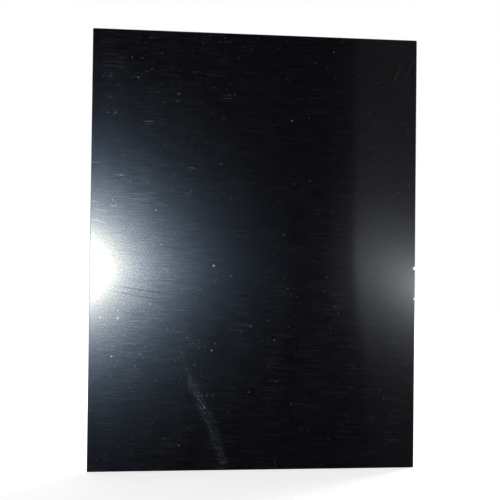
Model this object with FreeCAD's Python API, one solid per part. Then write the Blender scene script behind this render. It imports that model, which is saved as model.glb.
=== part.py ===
"""Stick-on kick plate: a gloss black rigid plastic sheet with foam tape and release liners on its back.

The plate has no screw holes. It is held on a door by strips of double-sided foam tape: one down
each side and a row of cross strips between them. Each strip still carries its own release liner,
which is a little wider than the tape along one edge, so that a fingernail can lift it.

Frame: millimetres, +Z up the plate's long side, +X to the right seen from the front, and +Y
towards the door. The origin is the centre of the plane that meets the door, which is the outer
face of the liners, so every piece lies at y below 0 and the kicked face looks along -Y.
"""

import FreeCAD
import Part

import os

# --- Plate: one sheet of 1/8 inch plastic, cut to 12 by 16 inches -----------------------------
PLATE_WIDTH = 304.8
PLATE_HEIGHT = 406.4
PLATE_THICKNESS = 3.2
CORNER_RADIUS = 1.0  # the four corners seen from the front, sawn square and just broken
FRONT_EDGE_RADIUS = 0.6  # eased by the edge scraper, so that the face has no sharp rim
BACK_EDGE_RADIUS = 0.3

# --- Tape: 1 inch double-sided foam strip ------------------------------------------------------
TAPE_WIDTH = 25.4
TAPE_THICKNESS = 1.1
TAPE_INSET = 6.0  # from the plate's outline to the outer strips
CROSS_STRIPS = ("top", "upper", "middle", "lower", "bottom")  # an odd number: one is central

# --- Release liner: one plastic film on each strip ---------------------------------------------
LINER_THICKNESS = 0.1
LINER_OVERHANG = 3.0  # how far the film stands past the tape, along one long edge
LINER_GAP = 2.0  # free space between the edge of one liner and the next strip

# --- Planes, from the door towards the front ---------------------------------------------------
DOOR_PLANE = 0.0
TAPE_BACK = DOOR_PLANE - LINER_THICKNESS
PLATE_BACK = TAPE_BACK - TAPE_THICKNESS
PLATE_FRONT = PLATE_BACK - PLATE_THICKNESS


def slab(low_x, high_x, low_z, high_z, front, back):
    """A box between two X planes, two Z planes and two Y planes."""
    size = (high_x - low_x, back - front, high_z - low_z)
    return Part.makeBox(*size, FreeCAD.Vector(low_x, front, low_z))


def edges_along_y(solid):
    """The straight edges that run through the plate's thickness."""
    return [edge for edge in solid.Edges if edge.BoundBox.YLength > PLATE_THICKNESS / 2]


def edges_on_plane(solid, y):
    """The edges that lie in the plane at y."""
    flat = 1e-6
    return [
        edge
        for edge in solid.Edges
        if abs(edge.BoundBox.YMin - y) < flat and abs(edge.BoundBox.YMax - y) < flat
    ]


def face_plate():
    """The sheet itself, with its corners broken and its rims eased, front more than back."""
    half_width = PLATE_WIDTH / 2
    half_height = PLATE_HEIGHT / 2
    sheet = slab(-half_width, half_width, -half_height, half_height, PLATE_FRONT, PLATE_BACK)
    sheet = sheet.makeFillet(CORNER_RADIUS, edges_along_y(sheet))
    sheet = sheet.makeFillet(FRONT_EDGE_RADIUS, edges_on_plane(sheet, PLATE_FRONT))
    return sheet.makeFillet(BACK_EDGE_RADIUS, edges_on_plane(sheet, PLATE_BACK))


def strip_outlines():
    """Each strip's name, its tape outline (low x, high x, low z, high z) and its liner outline.

    A liner is its tape's outline with one long edge moved out by the overhang: the edge that looks
    to the middle of the plate on the side strips and the bottom strip, and the lower edge on the
    others.
    """
    outer_x = PLATE_WIDTH / 2 - TAPE_INSET
    inner_x = outer_x - TAPE_WIDTH
    outer_z = PLATE_HEIGHT / 2 - TAPE_INSET
    cross_x = inner_x - LINER_OVERHANG - LINER_GAP
    top_centre = outer_z - TAPE_WIDTH / 2
    pitch = 2 * top_centre / (len(CROSS_STRIPS) - 1)

    outlines = {
        "left": (
            (-outer_x, -inner_x, -outer_z, outer_z),
            (-outer_x, -inner_x + LINER_OVERHANG, -outer_z, outer_z),
        ),
        "right": (
            (inner_x, outer_x, -outer_z, outer_z),
            (inner_x - LINER_OVERHANG, outer_x, -outer_z, outer_z),
        ),
    }
    for number, name in enumerate(CROSS_STRIPS):
        centre = top_centre - number * pitch
        low = centre - TAPE_WIDTH / 2
        high = centre + TAPE_WIDTH / 2
        if number == len(CROSS_STRIPS) - 1:
            liner = (-cross_x, cross_x, low, high + LINER_OVERHANG)
        else:
            liner = (-cross_x, cross_x, low - LINER_OVERHANG, high)
        outlines[name] = ((-cross_x, cross_x, low, high), liner)
    return outlines


def save(solid, node):
    """Write one node's STEP file."""
    solid.exportStep(os.path.join("parts", node + ".step"))


os.makedirs("parts", exist_ok=True)
save(face_plate(), "face_plate")
for name, (tape, liner) in strip_outlines().items():
    save(slab(*tape, PLATE_BACK, TAPE_BACK), "tape_" + name)
    save(slab(*liner, TAPE_BACK, DOOR_PLANE), "liner_" + name)
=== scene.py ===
"""The looks of a stick-on kick plate: a gloss black plastic sheet that mirrors a dim room.

The sheet's front is polished and hazy from wiping, with dust, scratches and one long scuff. Its edges
are sawn, its back is matt, and its foam tape strips still carry their red release liners.
"""

import math
import random

import bpy
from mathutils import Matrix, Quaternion, Vector, geometry, noise


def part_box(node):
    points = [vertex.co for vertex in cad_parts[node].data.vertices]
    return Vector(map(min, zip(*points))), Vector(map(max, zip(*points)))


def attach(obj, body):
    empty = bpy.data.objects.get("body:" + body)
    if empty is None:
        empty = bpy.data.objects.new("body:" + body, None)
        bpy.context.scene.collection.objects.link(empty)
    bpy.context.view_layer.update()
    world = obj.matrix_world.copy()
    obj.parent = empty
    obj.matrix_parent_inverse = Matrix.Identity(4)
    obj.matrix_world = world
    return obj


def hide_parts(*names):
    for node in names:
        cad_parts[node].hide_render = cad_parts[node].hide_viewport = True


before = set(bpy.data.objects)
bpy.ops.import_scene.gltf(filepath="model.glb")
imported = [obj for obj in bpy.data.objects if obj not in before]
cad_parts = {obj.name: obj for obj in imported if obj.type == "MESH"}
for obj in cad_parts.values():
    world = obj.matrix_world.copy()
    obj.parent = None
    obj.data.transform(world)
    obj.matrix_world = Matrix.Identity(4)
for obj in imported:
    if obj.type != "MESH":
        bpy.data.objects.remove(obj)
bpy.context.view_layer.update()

MM = 0.001
random.seed(7)

plate_low, plate_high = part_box("face_plate")
FRONT = plate_low.y
BACK = plate_high.y
WIDTH = plate_high.x - plate_low.x
HEIGHT = plate_high.z - plate_low.z


# --- Node trees --------------------------------------------------------------------------------

class Graph:
    """A node tree, with a short call for each kind of node. Inputs are plain values or sockets."""

    def __init__(self, owner):
        owner.use_nodes = True
        self.tree = owner.node_tree
        self.tree.nodes.clear()

    def node(self, kind, inputs=None, **settings):
        made = self.tree.nodes.new("ShaderNode" + kind)
        for name, value in settings.items():
            setattr(made, name, value)
        for key, value in (inputs or {}).items():
            if isinstance(value, bpy.types.NodeSocket):
                self.tree.links.new(value, made.inputs[key])
            else:
                made.inputs[key].default_value = value
        return made

    def maths(self, operation, first, second=0.0):
        return self.node("Math", {0: first, 1: second}, operation=operation).outputs[0]

    def add(self, *values):
        total = values[0]
        for value in values[1:]:
            total = self.maths("ADD", total, value)
        return total

    def times(self, *values):
        total = values[0]
        for value in values[1:]:
            total = self.maths("MULTIPLY", total, value)
        return total

    def remap(self, value, low, high, to_low=0.0, to_high=1.0, kind="SMOOTHSTEP"):
        inputs = {"Value": value, "From Min": low, "From Max": high, "To Min": to_low, "To Max": to_high}
        return self.node("MapRange", inputs, interpolation_type=kind).outputs["Result"]

    def placed(self, vector, centre=(0, 0, 0), turn=0.0, size=(1, 1, 1)):
        """The vector measured from centre, along axes turned by turn degrees, in units of size."""
        rotation = (0, 0, math.radians(turn))
        inputs = {"Vector": vector, "Location": centre, "Rotation": rotation, "Scale": size}
        return self.node("Mapping", inputs, vector_type="TEXTURE").outputs["Vector"]

    def reach(self, vector, centre, turn, half):
        """How far the vector lies from the middle of an ellipse, as a share of the way to its rim.

        The ellipse is turned by turn degrees. With a Mapping node for each mark, the face's shader was too
        big for Cycles and rendered black, so this is made from maths nodes alone.
        """
        if turn == 0:
            scale = (1 / half[0], 1 / half[1], 0)
            shift = (-centre[0] / half[0], -centre[1] / half[1], 0)
            spot = self.node("VectorMath", {0: vector, 1: scale, 2: shift}, operation="MULTIPLY_ADD")
            return self.node("VectorMath", {0: spot.outputs["Vector"]}, operation="LENGTH").outputs["Value"]
        angle = math.radians(turn)
        squares = []
        for across, up, size in ((math.cos(angle), math.sin(angle), half[0]),
                                 (-math.sin(angle), math.cos(angle), half[1])):
            axis = (across / size, up / size, 0)
            offset = -(axis[0] * centre[0] + axis[1] * centre[1])
            dot = self.node("VectorMath", {0: vector, 1: axis}, operation="DOT_PRODUCT")
            share = self.add(dot.outputs["Value"], offset)
            squares.append(self.maths("POWER", self.maths("ABSOLUTE", share), 2))
        return self.maths("SQRT", self.add(*squares))

    def noise(self, vector, detail=2.0, roughness=0.5):
        inputs = {"Vector": vector, "Scale": 1.0, "Detail": detail, "Roughness": roughness}
        return self.node("TexNoise", inputs).outputs["Fac"]

    def cells(self, vector):
        """Distance to the nearest of a scatter of points, one per unit cell, and its random numbers."""
        found = self.node("TexVoronoi", {"Vector": vector, "Scale": 1.0}, voronoi_dimensions="2D")
        picks = self.node("SeparateColor", {"Color": found.outputs["Color"]})
        return found.outputs["Distance"], picks.outputs

    def blend(self, share, first, second):
        inputs = {"Factor": share, 6: first, 7: second}
        return self.node("Mix", inputs, data_type="RGBA").outputs[2]

    def object_place(self):
        return self.node("TexCoord").outputs["Object"]

    def flat_place(self):
        """Metres across and up the sheet, as a vector with no depth."""
        split = self.separate(self.object_place())
        return self.node("CombineXYZ", {"X": split["X"], "Y": split["Z"]}).outputs["Vector"]

    def bump(self, height, depth, strength):
        inputs = {"Height": height, "Distance": depth, "Strength": strength}
        return self.node("Bump", inputs).outputs["Normal"]

    def separate(self, vector):
        return self.node("SeparateXYZ", {"Vector": vector}).outputs

    def surface(self, shader):
        self.node("OutputMaterial", {"Surface": shader.outputs[0]})

    def principled(self, inputs):
        self.surface(self.node("BsdfPrincipled", inputs))


# --- Materials ---------------------------------------------------------------------------------

PLASTIC_IOR = 1.5
BLACK = (0.0012, 0.0010, 0.0015, 1)
DUST = (0.50, 0.54, 0.58, 1)
PALE_DUST = (0.84, 0.88, 0.92, 1)
SCUFFED = (0.36, 0.52, 0.76, 1)

# Sets of wiping lines: turn in degrees, length and width of a line's cell, share kept, strength.
WIPES = [
    (-0.6, 30 * MM, 1.8 * MM, 0.60, 0.70),
    (-2.4, 22 * MM, 1.6 * MM, 0.50, 0.70),
    (-5.5, 44 * MM, 2.2 * MM, 0.40, 0.80),
    (-9.0, 36 * MM, 2.6 * MM, 0.25, 0.60),
    (2.0, 26 * MM, 2.2 * MM, 0.30, 0.60),
]

# Pale scratches: centre across and up in millimetres, turn in degrees, length, strength.
# The strongest, by the left edge, are real scratches painted bright: painted glints where the lamp's glare
# catches them.
GLINTING_SCRATCHES = [
    (-143, 36, -7, 24, 2.6),
    (-145, 26, -11, 20, 2.6),
    (-131, 40, -3, 12, 1.8),
    (-149, 44, -5, 10, 1.8),
    (-128, 30, 35, 7, 0.5),
    (-27, 144.6, -2, 11, 0.20),
    (-27, 142, -3, 13, 0.26),
    (-27, 139.4, -2, 11, 0.15),
    (-100.5, 118.5, -4, 14, 0.46),
    (133, 169, 67, 32, 0.18),
    (146, 175, 66, 30, 0.09),
    (44, -143, -7, 48, 0.12),
    (72, -132, -1, 34, 0.07),
    (92, -110, -4, 18, 0.10),
    (1, -152, 0, 16, 0.10),
    (27, -79, -1, 30, 0.09),
    (-22, -50, -3, 20, 0.16),
    (-148.5, 80, -3, 9, 0.60),
    (-126.5, 68.5, -2, 15, 0.85),
    (-31.5, 123.5, -2, 6, 0.24),
    (-60, 76.5, -9, 9, 0.30),
    (-33.5, 80.5, 0, 5, 0.40),
    (-135.5, 140, 0, 6, 0.30),
    (-133, 137.5, 5, 8, 0.16),
    (-23.5, 101.5, -4, 7, 0.16),
    (-40, 152, 2, 4, 0.18),
    (3, 151.5, 2, 6, 0.18),
    (-73.5, 138.5, 12, 8, 0.30),
    (-135, 162, 15, 6, 0.26),
    (-136.5, 159.5, 0, 4, 0.26),
    (-112, 162.5, 0, 4, 0.22),
    (-103, 166, 30, 4, 0.22),
    (-107, 177, 0, 3, 0.32),
    (-73, 145, 0, 4, 0.75),
    (-100.5, 128, 4, 7, 0.20),
]

# Polished scratches, which mirror less than the haze round them, given in the same way.
DARK_SCRATCHES = [
    (-99, -38, -8.4, 90, 1.0),
    (-110, -42, -10.1, 60, 1.0),
    (-108, -59, -7.7, 40, 0.8),
    (-116, -1, -6, 34, 0.35),
    (-75, 2, -9, 28, 0.8),
    (-79, -29, -9, 34, 0.45),
    (-130, 96, -2, 40, 0.4),
]

# Patches of fine flecks: centre across and up, half width and half height in millimetres, strength.
FLECK_PATCHES = [
    (-50, -86, 19, 10, 1.0),
    (-100, -98, 15, 5, 0.9),
    (-69, -94, 7, 11, 0.9),
    (-30, -193, 7, 6, 1.0),
    (-27, 143, 12, 8, 0.5),
    (-102, 120, 12, 10, 0.5),
    (-137, 159, 10, 8, 0.6),
    (-111, 160, 10, 7, 0.6),
    (-133, 125, 13, 13, 0.4),
    (-42, 58, 24, 22, 0.3),
    (27, -85, 32, 6, 0.5),
    (-139, -57, 12, 16, 0.7),
    (19, -188, 10, 5, 0.4),
]

# The largest grains of dust: place across and up, radius in millimetres, and strength.
# Those at full strength, low by the left edge in the lamp's glare, are real grains with painted highlights.
GRAINS_AND_GLINTS = [
    (-131.5, -98, 1.2, 0.36),
    (-39, -14, 1.2, 0.76),
    (-126.5, -63, 1.6, 1.0),
    (-92.5, 37, 1.0, 0.25),
    (-40, -92.5, 0.9, 0.42),
    (-97, -50, 0.9, 0.25),
    (-129, 41, 0.9, 0.28),
    (-81.5, -19, 0.9, 0.25),
    (-22.5, -23, 0.9, 0.33),
    (33, 123, 0.9, 0.19),
    (-142, -62.5, 1.6, 1.0),
    (-131, 126, 0.9, 0.24),
    (-125, 69, 0.9, 0.20),
    (-126.5, -56, 1.2, 0.50),
    (-62.5, -80.5, 0.9, 0.20),
    (-106, -96, 0.9, 0.20),
    (-140, -71.5, 1.0, 0.60),
    (18.5, -83, 0.9, 0.22),
    (26, 16, 0.9, 0.14),
    (-46, -145, 0.9, 0.15),
    (-110.5, 159, 0.9, 0.15),
    (-87.5, 5, 0.9, 0.18),
    (-139, -63, 0.9, 0.70),
    (-115, 23, 0.9, 0.25),
    (-60.5, 55.5, 0.9, 0.13),
    (-4, -70, 0.9, 0.14),
    (-36.5, -86, 0.9, 0.16),
    (-36.5, -27.5, 0.9, 0.16),
    (-132.5, 46, 0.9, 0.22),
]

# The long scuff, from its faint upper end to its lower end near the sheet's bottom edge.
SCUFF_TOP = (-70.5 * MM, -85.5 * MM)
SCUFF_FOOT = (-26.8 * MM, -199.5 * MM)
SCUFF_HALF_WIDTH = 4.2 * MM
SCUFF_SWAY = 1.4 * MM

SCRATCH_HALF_WIDTH = 0.70 * MM
DARK_HALF_WIDTH = 0.95 * MM
DRIFT = 5 * MM  # how far the wiping streaks bend up and down

# The polish: roughness and coat weight before any wear, and the coat's own roughness.
FACE_ROUGHNESS = 0.16
FACE_COAT = 0.80
COAT_ROUGHNESS = 0.06


def wipe_lines(g, place, turn, length, width, share, strength):
    """Long thin cells with a fine line through the middle of some of them."""
    centre = (0.037 * turn, 0.19 * length, 0)  # so that the sets don't line up
    distance, picks = g.cells(g.placed(place, centre, turn, (length, width, 1)))
    line = g.remap(distance, 0.36, 0.04)
    kept = g.maths("LESS_THAN", picks["Red"], share)
    faintness = g.times(picks["Green"], picks["Green"])
    return g.times(line, kept, g.remap(faintness, 0, 1, 0.15, 1, "LINEAR"), strength)


def single_scratch(g, place, across, up, turn, length, strength, half_width=SCRATCH_HALF_WIDTH):
    """One thin line that fades towards its ends."""
    reach = g.reach(place, (across * MM, up * MM), turn, (length / 2 * MM, half_width))
    return g.times(g.remap(reach, 1.0, 0.25), strength)


def fleck_patch(g, place, across, up, half_width, half_height, strength):
    reach = g.reach(place, (across * MM, up * MM), 0, (half_width * MM, half_height * MM))
    return g.times(g.remap(reach, 1.0, 0.2), strength)


def dust_and_glint_grain(g, place, across, up, radius, strength):
    return fleck_patch(g, place, across, up, radius, radius, strength)


def strongest(g, masks):
    """The largest of some masks."""
    top = None
    for mask in masks:
        top = mask if top is None else g.maths("MAXIMUM", top, mask)
    return top


def scuff_band(g, place):
    """A rubbed band of small specks that sways a little: scattered and thin at its top, then wide."""
    run = Vector(SCUFF_FOOT) - Vector(SCUFF_TOP)
    turn = math.degrees(math.atan2(run.y, run.x))
    local = g.placed(place, (*SCUFF_TOP, 0), turn)
    split = g.separate(local)
    share = g.maths("DIVIDE", split["X"], run.length)
    sway = g.times(g.maths("SINE", g.times(share, 2 * math.pi)), -SCUFF_SWAY)
    aside = g.maths("ABSOLUTE", g.maths("SUBTRACT", split["Y"], sway))
    half_width = g.times(g.remap(share, 0.18, 0.34, 0.40, 1.0), SCUFF_HALF_WIDTH)
    across = g.maths("DIVIDE", aside, half_width)
    ends = g.times(g.remap(share, 1.02, 0.98), g.remap(share, -0.03, 0.08))
    thickened = g.times(g.remap(share, 0.18, 0.34), 0.60)
    thinned = g.times(g.remap(share, 0.42, 0.62), -0.45)
    foot = g.times(g.remap(share, 0.92, 0.97), 0.15)
    along = g.add(0.45, thickened, thinned, foot)
    body = g.times(g.remap(across, 1.55, 0.45), ends, along)
    distance, picks = g.cells(g.placed(local, size=(1.9 * MM, 1.6 * MM, 1)))
    specks = g.times(g.remap(distance, 0.60, 0.15), g.remap(picks["Red"], 0.0, 1.0))
    blobs = g.noise(g.placed(local, size=(6 * MM, 3 * MM, 1)), 2, 0.6)
    broken = g.remap(g.add(blobs, g.times(share, 0.4)), 0.40, 0.80, 0.35, 1)
    return g.times(body, broken, g.add(g.times(specks, 0.8), 0.15))


def gloss_black_sheet():
    """The kicked face: gloss black, hazy from wiping, with streaks, scratches, dust and the scuff."""
    material = bpy.data.materials.new("gloss_black_sheet")
    g = Graph(material)
    flat = g.flat_place()
    drift = g.noise(g.placed(flat, size=(90 * MM, 90 * MM, 1)), 1)
    lift = g.node("CombineXYZ", {"Y": g.times(g.add(drift, -0.5), DRIFT)}).outputs["Vector"]
    place = g.node("VectorMath", {0: flat, 1: lift}, operation="ADD").outputs["Vector"]

    # Marks are paler and denser at the left and along the bottom: wear along the bottom, painted glare at
    # the left.
    split = g.separate(flat)
    left = g.remap(split["X"], -0.5 * WIDTH, 0.1 * WIDTH, 2.1, 0.75, "LINEAR")
    low = g.remap(split["Y"], 0.25 * HEIGHT, -0.30 * HEIGHT, -0.20, 0.22)
    wear_and_glare = g.add(left, low)

    clouds = g.noise(g.placed(flat, (3, 1, 0), 0, (60 * MM, 38 * MM, 1)), 3, 0.6)
    patches = g.remap(clouds, 0.36, 0.66, 0.70, 1)
    wipes = g.times(strongest(g, (wipe_lines(g, place, *row) for row in WIPES)), patches)
    scratches_and_glints = strongest(g, (single_scratch(g, flat, *row) for row in GLINTING_SCRATCHES))
    darks = strongest(g, (single_scratch(g, flat, *row, DARK_HALF_WIDTH) for row in DARK_SCRATCHES))
    fine = g.noise(g.placed(place, size=(24 * MM, 0.85 * MM, 1)), 2, 0.65)
    broad = g.noise(g.placed(place, (5, 2, 0), -4, (55 * MM, 2.4 * MM, 1)), 2, 0.6)
    streaks = g.times(g.add(g.times(fine, 0.80), g.times(broad, 0.20), -0.5), patches)
    grain = g.add(g.noise(g.placed(flat, size=(1.7 * MM, 1.3 * MM, 1)), 1), -0.5)
    scuff = scuff_band(g, flat)

    dust_distance, dust_picks = g.cells(g.placed(flat, (0.4, 0.2, 0), 20, (13 * MM, 13 * MM, 1)))
    dust_kept = g.maths("LESS_THAN", dust_picks["Red"], g.times(wear_and_glare, 0.15))
    dust_size = g.remap(dust_picks["Green"], 0, 1, 0.03, 0.055, "LINEAR")
    small_dust = g.times(g.remap(g.maths("DIVIDE", dust_distance, dust_size), 1, 0.4), dust_kept,
                         dust_picks["Blue"], 0.18)
    large_dust_and_glints = strongest(g, (dust_and_glint_grain(g, flat, *row) for row in GRAINS_AND_GLINTS))
    # The dust here is real, with painted highlights on its strongest grains.
    dust = g.maths("MAXIMUM", small_dust, large_dust_and_glints)

    fleck_distance, fleck_picks = g.cells(g.placed(flat, (0.1, 0.3, 0), 11, (2.6 * MM, 2.1 * MM, 1)))
    fleck_mask = strongest(g, (fleck_patch(g, flat, *row) for row in FLECK_PATCHES))
    fleck_share = g.add(g.times(fleck_mask, 0.5), g.times(wear_and_glare, 0.05))
    fleck_kept = g.maths("LESS_THAN", fleck_picks["Red"], fleck_share)
    faintness = fleck_picks["Blue"]
    flecks = g.times(g.remap(fleck_distance, 0.32, 0.08), fleck_kept, faintness, faintness)

    # How much each mark lightens the colour, dulls the polish, changes the coat and raises the surface.
    marks = g.add(g.times(wipes, 0.026), g.times(streaks, 0.053), g.times(grain, 0.024))
    # Pale marks: real flecks, scratches and streaks, painted paler at the left where they stand for the
    # lamp's glare.
    pale = g.add(g.times(flecks, 0.115), g.times(scratches_and_glints, 0.22), g.times(marks, wear_and_glare))
    hazed = g.blend(g.times(scuff, 0.090), g.blend(pale, BLACK, DUST), SCUFFED)
    rough = g.add(FACE_ROUGHNESS, g.times(streaks, 0.35), g.times(wipes, 0.05), g.times(darks, -0.02),
                  g.times(scuff, 0.2), g.times(dust, 0.3))
    coat = g.add(FACE_COAT, g.times(streaks, 1.2), g.times(grain, 1.3), g.times(darks, -0.60))
    height = g.add(g.times(streaks, 0.58), g.times(wipes, -0.3))
    g.principled({
        "Base Color": g.blend(dust, hazed, PALE_DUST),
        "Roughness": rough,
        "IOR": PLASTIC_IOR,
        "Coat Weight": coat,
        "Coat Roughness": COAT_ROUGHNESS,
        "Coat IOR": PLASTIC_IOR,
        "Normal": g.bump(height, 0.006 * MM, 0.6),
    })
    return material


def sawn_edge():
    """The cut edge: satin, with close saw lines across the thickness and small pale burrs."""
    material = bpy.data.materials.new("sawn_edge")
    g = Graph(material)
    place = g.object_place()
    lines = g.noise(g.placed(place, size=(0.45 * MM, 12 * MM, 0.45 * MM)), 3, 0.75)
    swirl = g.noise(g.placed(place, size=(4 * MM, 3 * MM, 4 * MM)), 2, 0.6)
    burr = g.remap(g.noise(g.placed(place, size=(0.8 * MM, 0.5 * MM, 0.8 * MM)), 2, 0.6), 0.60, 0.72)
    tone = g.add(g.times(lines, 0.65), g.times(swirl, 0.35))
    colour = g.blend(g.remap(tone, 0.36, 0.64), (0.005, 0.005, 0.006, 1), (0.036, 0.037, 0.040, 1))
    g.principled({
        "Base Color": g.blend(g.times(burr, 0.30), colour, (0.20, 0.21, 0.22, 1)),
        "Roughness": g.remap(tone, 0.36, 0.64, 0.38, 0.62, "LINEAR"),
        "Normal": g.bump(g.add(lines, g.times(swirl, 0.4)), 0.12 * MM, 1.0),
    })
    return material


def matt_back():
    """The sheet's back: matt black with a pebbled grain, faint wiping strokes and a little dust."""
    material = bpy.data.materials.new("sheet_back")
    g = Graph(material)
    flat = g.flat_place()
    cells = {"Vector": g.placed(flat, size=(0.85 * MM, 0.85 * MM, 1)), "Scale": 1.0}
    pebbles = g.node("TexVoronoi", cells, voronoi_dimensions="2D", feature="SMOOTH_F1").outputs["Distance"]
    grain = g.noise(g.placed(flat, size=(0.5 * MM, 0.5 * MM, 1)), 3, 0.6)
    strokes = g.noise(g.placed(flat, turn=14, size=(60 * MM, 6 * MM, 1)), 3, 0.6)
    clouds = g.noise(g.placed(flat, (2, 5, 0), size=(45 * MM, 45 * MM, 1)), 3, 0.6)
    distance, picks = g.cells(g.placed(flat, (0.3, 0.5, 0), 33, (9 * MM, 9 * MM, 1)))
    kept = g.maths("LESS_THAN", picks["Red"], 0.35)
    dust = g.times(g.remap(distance, 0.055, 0.02), kept, picks["Green"])
    wiped = g.remap(g.add(g.times(strokes, 0.6), g.times(clouds, 0.4)), 0.38, 0.62)
    tone = g.blend(wiped, (0.0085, 0.0085, 0.0095, 1), (0.017, 0.017, 0.019, 1))
    g.principled({
        "Base Color": g.blend(g.times(dust, 0.4), tone, DUST),
        "Roughness": g.add(g.remap(wiped, 0, 1, 0.36, 0.50, "LINEAR"), g.times(grain, 0.08)),
        "Normal": g.bump(g.add(g.times(pebbles, -0.7), g.times(grain, 0.3)), 0.10 * MM, 0.8),
    })
    return material


def foam_tape():
    """Closed-cell foam: dark grey, with pores on its cut edges."""
    material = bpy.data.materials.new("foam_tape")
    g = Graph(material)
    place = g.object_place()
    pores = g.node("TexVoronoi", {"Vector": g.placed(place, size=(0.34 * MM, 0.26 * MM, 0.34 * MM)),
                                  "Scale": 1.0}).outputs["Distance"]
    cloud = g.noise(g.placed(place, size=(3 * MM, 1 * MM, 3 * MM)), 3, 0.6)
    cell = g.remap(pores, 0.15, 0.6)
    tone = g.add(g.times(cell, 0.7), g.times(cloud, 0.3))
    g.principled({
        "Base Color": g.blend(tone, (0.010, 0.010, 0.011, 1), (0.055, 0.055, 0.058, 1)),
        "Roughness": g.remap(cell, 0, 1, 0.95, 0.8, "LINEAR"),
        "Normal": g.bump(cell, 0.12 * MM, 0.8),
    })
    return material


def release_liner():
    """Red plastic film: deeper where it lies on the dark foam, brighter along its free lip."""
    material = bpy.data.materials.new("release_liner")
    g = Graph(material)
    place = g.object_place()
    lip = g.node("Attribute", attribute_name="lip").outputs["Fac"]
    cloud = g.noise(g.placed(place, size=(22 * MM, 22 * MM, 22 * MM)), 3, 0.6)
    swell = g.noise(g.placed(place, (7, 0, 3), size=(9 * MM, 9 * MM, 9 * MM)), 2, 0.5)
    wrinkle = g.maths("ABSOLUTE", g.times(g.add(swell, -0.5), 2))
    flow = g.noise(g.placed(place, size=(1.6 * MM, 1.6 * MM, 1.6 * MM)), 3, 0.6)
    scuffs = g.remap(g.noise(g.placed(place, size=(14 * MM, 5 * MM, 0.7 * MM)), 3, 0.7), 0.60, 0.74)
    on_foam = g.blend(g.remap(cloud, 0.3, 0.7), (0.47, 0.006, 0.012, 1), (0.60, 0.010, 0.016, 1))
    colour = g.blend(g.times(lip, 0.75), on_foam, (0.80, 0.030, 0.028, 1))
    height = g.add(g.times(cloud, 1.2), g.times(wrinkle, -0.35), g.times(flow, 0.06))
    g.principled({
        "Base Color": g.blend(g.times(scuffs, 0.12), colour, (0.85, 0.45, 0.43, 1)),
        "Roughness": g.add(g.remap(flow, 0.3, 0.7, 0.14, 0.22, "LINEAR"), g.times(scuffs, 0.2)),
        "IOR": 1.45,
        "Normal": g.bump(height, 1.0 * MM, 0.6),
    })
    return material


# --- Meshes ------------------------------------------------------------------------------------

FACE_SLOT, EDGE_SLOT, BACK_SLOT = range(3)
SHARP_EDGE = math.radians(40)


def make_piece(name, points, faces, materials, node):
    """A smooth-shaded mesh on the root body that stands for one CAD node."""
    mesh = bpy.data.meshes.new(name)
    mesh.from_pydata([tuple(point) for point in points], [], faces)
    mesh.validate()
    for material in materials:
        mesh.materials.append(material)
    mesh.shade_smooth()
    piece = bpy.data.objects.new(name, mesh)
    bpy.context.scene.collection.objects.link(piece)
    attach(piece, "root")
    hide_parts(node)
    return piece


CORNER_RADIUS = 1.0 * MM
FRONT_RIM = 0.30 * MM
BACK_RIM = 0.3 * MM
OUTLINE_STEP = 0.8 * MM
CORNER_STEPS = 8
CORNER_WEAR = 0.05 * MM
RIM_STEPS = 5
SIDE_ROWS = 5
FACE_BANDS = 4  # bands of the edge's profile that are glossy like the face, counted from it
BACK_BANDS = 3  # and those that are matt like the back
SUPPORT = 0.3 * MM  # width of the flat strip that keeps the rim's shading off the face
WAVE_DEPTH = 0.12 * MM
WAVE_LENGTH = 120 * MM
GRID_STEP = 6 * MM
GRID_MARGIN = 2.6 * MM  # from the outermost grid points to the flat strip inside the rim
WOBBLE = 0.06 * MM
WOBBLE_LENGTH = 2.2 * MM

# Chips in the sawn edge: side, place along it in millimetres, half width, depth.
CHIPS = [
    ("right", -14.5, 1.5, 2.1),
    ("right", -43.5, 1.1, 1.2),
]


def chip_depth(side, along):
    """How far the edge is broken away at a place on one side."""
    deepest = 0.0
    for chip_side, place, half_width, depth in CHIPS:
        share = abs(along / MM - place) / half_width
        if chip_side == side and share < 1:
            deepest = max(deepest, depth * MM * (1 - share ** 3))
    return deepest


def outline():
    """Points round the sheet's outer edge: place, inward direction, and how far it is worn in there."""
    half_x = WIDTH / 2
    half_z = HEIGHT / 2
    sides = [
        ("bottom", Vector((-half_x, -half_z)), Vector((1, 0)), Vector((0, 1)), WIDTH),
        ("right", Vector((half_x, -half_z)), Vector((0, 1)), Vector((-1, 0)), HEIGHT),
        ("top", Vector((half_x, half_z)), Vector((-1, 0)), Vector((0, -1)), WIDTH),
        ("left", Vector((-half_x, half_z)), Vector((0, -1)), Vector((1, 0)), HEIGHT),
    ]
    found = []
    for side, start, along, inward, length in sides:
        straight = length - 2 * CORNER_RADIUS
        count = round(straight / OUTLINE_STEP)
        for step in range(count + 1):
            point = start + along * (CORNER_RADIUS + straight * step / count)
            place = point.dot(Vector((1, 0) if along.x else (0, 1)))
            wobble = WOBBLE * (0.5 + 0.5 * noise.noise(Vector((*point, 0)) / WOBBLE_LENGTH))
            found.append((point, inward, max(0.0, wobble) + chip_depth(side, place)))
        centre = start + along * (length - CORNER_RADIUS) + inward * CORNER_RADIUS
        for step in range(1, CORNER_STEPS):
            turn = math.pi / 2 * step / CORNER_STEPS
            outward = along * math.sin(turn) - inward * math.cos(turn)
            found.append((centre + outward * CORNER_RADIUS, -outward, CORNER_WEAR))
    return found


def wave(x, z):
    """How far the face lies behind its plane: a large soft waviness left by extrusion."""
    return WAVE_DEPTH * (0.5 + 0.5 * noise.noise(Vector((x, 3.1, z)) / WAVE_LENGTH))


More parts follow.
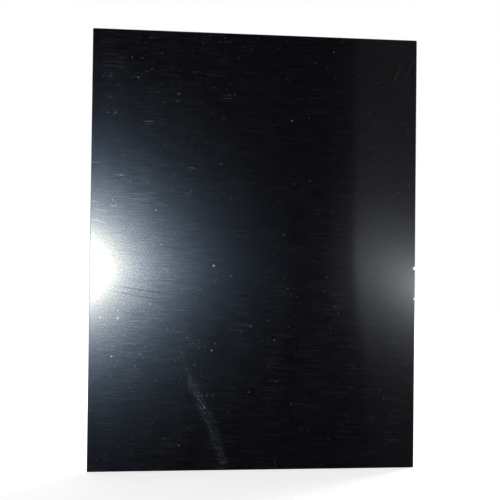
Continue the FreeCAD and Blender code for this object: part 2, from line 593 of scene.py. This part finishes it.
def sheet_sections():
    """The edge's profile from front to back: depth from the front, and inset from the outline."""
    thickness = BACK - FRONT
    rows = [(0.0, FRONT_RIM + SUPPORT)]
    for step in range(RIM_STEPS + 1):
        turn = math.pi / 2 * step / RIM_STEPS
        rows.append((FRONT_RIM * (1 - math.cos(turn)), FRONT_RIM * (1 - math.sin(turn))))
    for step in range(1, SIDE_ROWS):
        side = thickness - FRONT_RIM - BACK_RIM
        rows.append((FRONT_RIM + side * step / SIDE_ROWS, 0.0))
    for step in range(RIM_STEPS + 1):
        turn = math.pi / 2 * step / RIM_STEPS
        rows.append((thickness - BACK_RIM * (1 - math.sin(turn)), BACK_RIM * (1 - math.cos(turn))))
    return rows + [(thickness, BACK_RIM + SUPPORT)]


def quads(rows, count):
    """Faces between closed rows of count points each, row by row."""
    for row in range(rows - 1):
        for n in range(count):
            after = (n + 1) % count
            yield row * count + n, (row + 1) * count + n, (row + 1) * count + after, row * count + after


def grid():
    """Flat points spread evenly inside the rim."""
    margin = FRONT_RIM + SUPPORT + GRID_MARGIN
    wide = WIDTH - 2 * margin
    high = HEIGHT - 2 * margin
    across = round(wide / GRID_STEP)
    up = round(high / GRID_STEP)
    return [Vector((-WIDTH / 2 + margin + wide * i / across, -HEIGHT / 2 + margin + high * j / up))
            for i in range(across + 1) for j in range(up + 1)]


def face_fill(ring, inner):
    """Triangles between a closed ring of flat points and points inside it, and each point's origins."""
    edges = [(n, (n + 1) % len(ring)) for n in range(len(ring))]
    inside_only = 1
    nearest = 1e-7
    made = geometry.delaunay_2d_cdt(ring + inner, edges, [], inside_only, nearest)
    points, _, triangles, origins, *_ = made
    return points, triangles, origins


def sheet():
    """The plastic sheet: its edge, row by row, and then its face and its back."""
    edge = outline()
    rows = sheet_sections()
    points = []
    for row, (depth, inset) in enumerate(rows):
        for place, inward, wear_and_glare in edge:
            spot = place + inward * (inset + wear_and_glare)
            sunk = wave(*spot) * max(0.0, 1 - depth / FRONT_RIM)
            points.append(Vector((spot.x, FRONT + depth + sunk, spot.y)))
    count = len(edge)
    faces = list(quads(len(rows), count))
    bands = len(rows) - 1
    edge_bands = bands - FACE_BANDS - BACK_BANDS
    slots = [FACE_SLOT] * FACE_BANDS * count
    slots += [EDGE_SLOT] * edge_bands * count
    slots += [BACK_SLOT] * BACK_BANDS * count

    inside = grid()
    for row, slot, is_front in ((0, FACE_SLOT, True), (bands, BACK_SLOT, False)):
        start = row * count
        ring = [Vector((points[start + n].x, points[start + n].z)) for n in range(count)]
        flat, triangles, origins = face_fill(ring, inside)
        index = []
        for n, spot in enumerate(flat):
            ringed = [o for o in origins[n] if o < count]
            if ringed:
                index.append(start + ringed[0])
            else:
                y = FRONT + wave(*spot) if is_front else BACK
                index.append(len(points))
                points.append(Vector((spot.x, y, spot.y)))
        for triangle in triangles:
            corners = [index[n] for n in triangle]
            faces.append(tuple(corners if is_front else reversed(corners)))
            slots.append(slot)

    materials = [gloss_black_sheet(), sawn_edge(), matt_back()]
    piece = make_piece("black_sheet", points, faces, materials, "face_plate")
    piece.data.polygons.foreach_set("material_index", slots)


def loft(sections):
    """Points and faces of a closed skin through closed sections of equal counts, with flat ends."""
    count = len(sections[0])
    points = [point for section in sections for point in section]
    faces = list(quads(len(sections), count))
    last = (len(sections) - 1) * count
    faces.append(tuple(range(count)))
    faces.append(tuple(last + n for n in reversed(range(count))))
    return points, faces


STRIP_STEP = 2.5 * MM
CUT_SKEW = 0.9 * MM  # how far a strip's scissor-cut end leans over its width
EDGE_ROUGHNESS = 0.10 * MM
HOLLOW = 0.09 * MM

# A cut side of the foam: share of the tape's thickness, and share of the hollow at that depth.
CUT_SIDE = [(0.0, 0.06), (0.06, 0.0), (0.3, 0.7), (0.5, 1.0), (0.7, 0.7), (0.94, 0.0), (1.0, 0.06)]

# The strips, and the side on which each liner stands past its tape: 1 is right or up seen from the
# front, and -1 is left or down.
LINERS = {"left": 1, "right": -1, "top": -1, "upper": -1, "middle": -1, "lower": -1, "bottom": 1}


class Strip:
    """One strip of tape: its box, which way it runs, and its two leaning ends."""

    def __init__(self, name):
        self.name = name
        self.low, self.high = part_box("tape_" + name)
        size = self.high - self.low
        self.upright = size.z > size.x
        self.length = max(size.x, size.z)
        self.width = size.x if self.upright else size.z
        self.lean = [random.uniform(-1, 1) * CUT_SKEW for end in range(2)]

    def point(self, share, across, depth):
        """A point at a share of the strip's length, metres across from the tape's low edge, and y."""
        tilt = across / self.width - 0.5
        start = abs(self.lean[0]) / 2 + tilt * self.lean[0]
        stop = self.length - abs(self.lean[1]) / 2 + tilt * self.lean[1]
        run = min(max(start + (stop - start) * share, 0.0), self.length)
        if self.upright:
            return Vector((self.low.x + across, depth, self.low.z + run))
        return Vector((self.low.x + run, depth, self.low.z + across))

    def wander(self, share, seed):
        """A small uneven number from 0 to 1 that changes along the strip."""
        return 0.5 + 0.5 * noise.noise(Vector((share * self.length / (6 * MM), seed, len(self.name))))


def tape(strip, material):
    """A foam strip whose cut sides are uneven and slightly hollow."""
    near, far = strip.low.y, strip.high.y
    rows = [(near + (far - near) * share, hollow) for share, hollow in CUT_SIDE]
    count = round(strip.length / STRIP_STEP)
    sections = []
    for step in range(count + 1):
        share = step / count
        section = []
        for side in range(2):
            for row, (depth, hollow) in enumerate(rows if side == 0 else reversed(rows)):
                dent = hollow * HOLLOW + EDGE_ROUGHNESS * strip.wander(share, 10 * side + 0.35 * row)
                across = dent if side == 0 else strip.width - dent
                section.append(strip.point(share, across, depth))
        sections.append(section)
    points, faces = loft(sections)
    if not strip.upright:
        faces = [tuple(reversed(face)) for face in faces]
    piece = make_piece("foam_" + strip.name, points, faces, [material], "tape_" + strip.name)
    piece.data.set_sharp_from_angle(angle=SHARP_EDGE)


LIP_CURL = 0.75 * MM  # how far the free lip bends towards the sheet at most
LIP_RIPPLE = 0.10 * MM
FILM_DIP = 0.02 * MM
LIP_ROWS = 7
FLAT_ROWS = 12


def liner(strip, material):
    """A thin film that is bonded over the tape and whose free lip waves and curls along one edge."""
    low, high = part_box("liner_" + strip.name)
    width = strip.width
    overhang = (high.x - low.x if strip.upright else high.z - low.z) - width
    door, tape_back = high.y, low.y
    outward = LINERS[strip.name]
    shares = [n / FLAT_ROWS for n in range(FLAT_ROWS)] + [1 + n / LIP_ROWS for n in range(LIP_ROWS + 1)]
    count = round(strip.length / STRIP_STEP)
    sections = []
    lips = []
    for step in range(count + 1):
        share = step / count
        curl = LIP_CURL * (0.15 + 0.85 * strip.wander(share * 0.16, 40) ** 1.5)
        ripple = LIP_RIPPLE * (strip.wander(share * 0.9, 50) - 0.5)
        back_row = []
        front_row = []
        for reach in shares:
            free = max(0.0, reach - 1)
            across = min(reach, 1.0) * width + free * overhang
            across = across if outward > 0 else width - across
            sag = max(0.0, (curl + ripple) * free ** 1.7)
            dip = FILM_DIP * strip.wander(share * 0.5, 60 + 3 * min(reach, 1.0))
            back_row.append(strip.point(share, across, door - dip - sag))
            front_row.append(strip.point(share, across, tape_back - sag))
        sections.append(back_row + front_row[::-1])
        row_lips = [min(1.0, max(0.0, reach - 0.97) * 8) for reach in shares]
        lips += row_lips + row_lips[::-1]
    points, faces = loft(sections)
    if (outward > 0) != strip.upright:
        faces = [tuple(reversed(face)) for face in faces]
    node = "liner_" + strip.name
    piece = make_piece("film_" + strip.name, points, faces, [material], node)
    piece.data.attributes.new("lip", "FLOAT", "POINT").data.foreach_set("value", lips)
    piece.data.set_sharp_from_angle(angle=SHARP_EDGE)


# --- The room: floor, dim surroundings, lamps --------------------------------------------------

WORLD_LEVEL = 0.5  # how strongly the white world lights what it falls on
FLOOR_GREY = 0.8
FLOOR_LIFT = 0.60  # added where the floor is seen, so that only the shadow on it falls short of white
FLOOR_REACH = 6.0

# What the sheet mirrors. The globe's colours go from straight ahead of the sheet round to its back.
GLOBE_RADIUS = 3.0
ROOM_AHEAD = (0.025, 0.020, 0.032)
ROOM_BESIDE = (0.55, 0.57, 0.60)
ROOM_BACK_LOW = (0.16, 0.16, 0.17)
ROOM_BACK_HIGH = (0.95, 0.95, 0.97)
ROOM_DEPTH = 1.6  # from the sheet's face to the lamp and the light panel

LAMP_AT = Vector((-0.417, FRONT - ROOM_DEPTH, -0.044))
LAMP_RADIUS = 0.7
LAMP_SIDES = 48
LAMP_WIDTH = 1.14  # stretch of the glow across and up
LAMP_HEIGHT = 1.12
LAMP_SHAPE = 1.4  # 2 is a round glow and 1 a diamond
# How the lamp's red, green and blue fade, as in faded_light, and the most that each reaches.
LAMP_PEAKS = (142, 108, 52)
LAMP_REACHES = (0.0402, 0.0500, 0.0895)
LAMP_FALLS = (0.8145, 0.842, 1.023)
LAMP_BRIGHTEST = 45

PANEL_AT = Vector((0.475, FRONT - ROOM_DEPTH, 0))
PANEL_WIDTH = 0.9
PANEL_HALF_HEIGHT = 1.2
# The panel's near border, from its middle down: place across and up.
PANEL_BORDER = [(-0.002, 0.0), (0.014, -0.17), (0.030, -0.30), (0.038, -0.42), (0.056, -0.57)]
PANEL_LOW = (0.055, 0.049, 0.064)
PANEL_MIDDLE = (0.128, 0.119, 0.140)
PANEL_HIGH = (0.098, 0.091, 0.108)
# The soft patch of light on the panel, whose long axis falls by a slope from its height at the border.
PATCH_ACROSS = 0.36
PATCH_UP = -0.025
PATCH_SLOPE = 0.28
PATCH_WIDTH = 1.9  # stretch of the glow across and up
PATCH_HEIGHT = 0.83
PATCH_PEAKS = (34, 38, 41)
PATCH_REACH = 0.02
PATCH_FALL = 0.616
PATCH_BRIGHTEST = 6

CAMERA_AT = (-0.0607, FRONT - 0.6451, -0.0073)
CAMERA_YAW, CAMERA_PITCH, CAMERA_ROLL = math.radians(-4.90), math.radians(90.74), math.radians(0.665)


def solid(colour):
    """A colour with full alpha, as colour sockets take it."""
    return (*colour, 1)


def stage_mesh(name, points, faces, material, shadow=True):
    """A mesh that isn't part of the object."""
    mesh = bpy.data.meshes.new(name)
    mesh.from_pydata([tuple(point) for point in points], [], faces)
    mesh.materials.append(material)
    made = bpy.data.objects.new(name, mesh)
    bpy.context.scene.collection.objects.link(made)
    made.visible_shadow = shadow
    return made


def seen_directly(g):
    """1 for rays from the camera, from mirror surfaces and through glass."""
    path = g.node("LightPath").outputs
    return strongest(g, [path["Is Camera Ray"], path["Is Glossy Ray"], path["Is Transmission Ray"]])


def white_world():
    """White where it is seen or mirrored, and a plain even light on everything else."""
    world = bpy.data.worlds.new("room")
    bpy.context.scene.world = world
    g = Graph(world)
    strength = g.remap(seen_directly(g), 0, 1, WORLD_LEVEL, 1.0, "LINEAR")
    light = g.node("Background", {"Color": (1, 1, 1, 1), "Strength": strength})
    g.node("OutputWorld", {"Surface": light.outputs["Background"]})


def pale_floor():
    """A plain floor under the sheet, which keeps the sheet's shadow."""
    material = bpy.data.materials.new("pale_floor")
    g = Graph(material)
    dull = g.node("BsdfDiffuse", {"Color": solid([FLOOR_GREY] * 3)})
    lift = g.times(seen_directly(g), FLOOR_LIFT)
    glow = g.node("Emission", {"Color": (1, 1, 1, 1), "Strength": lift})
    g.surface(g.node("AddShader", {0: dull.outputs[0], 1: glow.outputs[0]}))
    signs = ((-1, -1), (1, -1), (1, 1), (-1, 1))
    corners = [(x * FLOOR_REACH, y * FLOOR_REACH, plate_low.z) for x, y in signs]
    floor = stage_mesh("floor", corners, [(0, 1, 2, 3)], material)
    floor.visible_glossy = False


def dim_room():
    """A globe that only glossy surfaces see: dark ahead of the sheet, grey beside it, bright behind."""
    material = bpy.data.materials.new("dim_room")
    g = Graph(material)
    direction = g.node("VectorMath", {0: g.object_place()}, operation="NORMALIZE").outputs["Vector"]
    split = g.separate(direction)
    side = g.remap(split["Y"], -0.80, -0.05)
    behind = g.remap(split["Y"], 0.0, 0.35)
    back = g.blend(g.remap(split["Z"], -0.45, 0.55), solid(ROOM_BACK_LOW), solid(ROOM_BACK_HIGH))
    front = g.blend(side, solid(ROOM_AHEAD), solid(ROOM_BESIDE))
    g.surface(g.node("Emission", {"Color": g.blend(behind, front, back)}))
    bpy.ops.mesh.primitive_uv_sphere_add(segments=48, ring_count=24, radius=GLOBE_RADIUS,
                                         location=(0, FRONT, 0))
    room = bpy.context.object
    room.name = "dim_room"
    room.data.materials.append(material)
    room.visible_camera = False
    room.visible_diffuse = False
    room.visible_transmission = False
    room.visible_shadow = False


def faded_light(g, radius, peaks, reaches, falls, brightest):
    """Red, green and blue light that fades from the centre as peak * exp(-(radius / reach) ** fall)."""
    parts = []
    for peak, reach, fall in zip(peaks, reaches, falls):
        steep = g.maths("POWER", g.maths("DIVIDE", radius, reach), fall)
        glow = g.times(peak, g.maths("EXPONENT", g.times(steep, -1)))
        parts.append(g.maths("MINIMUM", glow, brightest))
    inputs = dict(zip(("Red", "Green", "Blue"), parts))
    return g.node("CombineColor", inputs).outputs["Color"]


def lamp():
    """A frosted lamp behind the viewer's left shoulder, bluer outwards. Its back is clear."""
    material = bpy.data.materials.new("lamp")
    g = Graph(material)
    split = g.separate(g.object_place())
    aside = g.maths("POWER", g.maths("ABSOLUTE", g.times(split["X"], 1 / LAMP_WIDTH)), LAMP_SHAPE)
    upward = g.maths("POWER", g.maths("ABSOLUTE", g.times(split["Z"], 1 / LAMP_HEIGHT)), LAMP_SHAPE)
    radius = g.maths("POWER", g.add(aside, upward), 1 / LAMP_SHAPE)
    colour = faded_light(g, radius, LAMP_PEAKS, LAMP_REACHES, LAMP_FALLS, LAMP_BRIGHTEST)
    with_room = g.node("VectorMath", {0: colour, 1: ROOM_AHEAD}, operation="ADD").outputs["Vector"]
    behind = g.node("NewGeometry").outputs["Backfacing"]
    light = g.node("Emission", {"Color": with_room})
    clear = g.node("BsdfTransparent")
    g.surface(g.node("MixShader", {0: behind, 1: light.outputs[0], 2: clear.outputs[0]}))
    turns = [2 * math.pi * n / LAMP_SIDES for n in range(LAMP_SIDES)]
    rim = [(LAMP_RADIUS * math.sin(turn), 0, LAMP_RADIUS * math.cos(turn)) for turn in turns]
    points = [(0, 0, 0), *rim]
    faces = [(0, 1 + n, 1 + (n + 1) % LAMP_SIDES) for n in range(LAMP_SIDES)]
    made = stage_mesh("lamp", points, faces, material, shadow=False)
    made.location = LAMP_AT
    made.visible_camera = False


def light_panel():
    """A dim upright panel to the right with a soft patch of light. The sheet mirrors its near border."""
    material = bpy.data.materials.new("light_panel")
    g = Graph(material)
    split = g.separate(g.object_place())
    aside = g.times(g.add(split["X"], -PATCH_ACROSS), 1 / PATCH_WIDTH)
    fallen = g.times(split["X"], PATCH_SLOPE)
    upward = g.times(g.add(split["Z"], -PATCH_UP, fallen), 1 / PATCH_HEIGHT)
    radius = g.maths("SQRT", g.add(g.times(aside, aside), g.times(upward, upward)))
    glow = faded_light(g, radius, PATCH_PEAKS, [PATCH_REACH] * 3, [PATCH_FALL] * 3, PATCH_BRIGHTEST)
    middle = g.blend(g.remap(split["Z"], -0.35, 0.25), solid(PANEL_LOW), solid(PANEL_MIDDLE))
    dim = g.blend(g.remap(split["Z"], 0.30, 0.65), middle, solid(PANEL_HIGH))
    both = g.node("VectorMath", {0: glow, 1: dim}, operation="ADD").outputs["Vector"]
    g.surface(g.node("Emission", {"Color": both}))
    top, foot = PANEL_HALF_HEIGHT, -PANEL_HALF_HEIGHT
    border = [(-0.005, top), *PANEL_BORDER, (0.058, foot), (PANEL_WIDTH, foot), (PANEL_WIDTH, top)]
    points = [(x, 0, z) for x, z in border]
    made = stage_mesh("light_panel", points, [tuple(range(len(points)))], material, shadow=False)
    made.location = PANEL_AT
    made.visible_camera = False
    made.visible_diffuse = False


def soft_lamp(name, place, size, energy):
    """A square area lamp that faces the origin and isn't seen by the camera."""
    light = bpy.data.lights.new(name, "AREA")
    light.size = size
    light.energy = energy
    made = bpy.data.objects.new(name, light)
    made.location = place
    made.rotation_euler = (-Vector(place)).to_track_quat("-Z", "Y").to_euler()
    made.visible_camera = False
    bpy.context.scene.collection.objects.link(made)


def camera():
    """A 50 mm lens at 0.65 m, a little left of the sheet's centre and turned towards it."""
    data = bpy.data.cameras.new("camera")
    data.lens = 50
    data.sensor_width = 36
    made = bpy.data.objects.new("camera", data)
    made.location = CAMERA_AT
    made.rotation_mode = "QUATERNION"
    upright = Vector((0, 0, 1))
    level = Vector((1, 0, 0))
    tilted = Quaternion(upright, CAMERA_YAW) @ Quaternion(level, CAMERA_PITCH)
    made.rotation_quaternion = tilted @ Quaternion(upright, CAMERA_ROLL)
    bpy.context.scene.collection.objects.link(made)
    bpy.context.scene.camera = made


# --- Build -------------------------------------------------------------------------------------

camera()
sheet()
foam = foam_tape()
film = release_liner()
for name in LINERS:
    strip = Strip(name)
    tape(strip, foam)
    liner(strip, film)

white_world()
pale_floor()
dim_room()
lamp()
light_panel()
soft_lamp("back_lamp", place=(1.15, 0.85, 0.95), size=0.8, energy=24)
bpy.context.scene.view_settings.view_transform = "Standard"
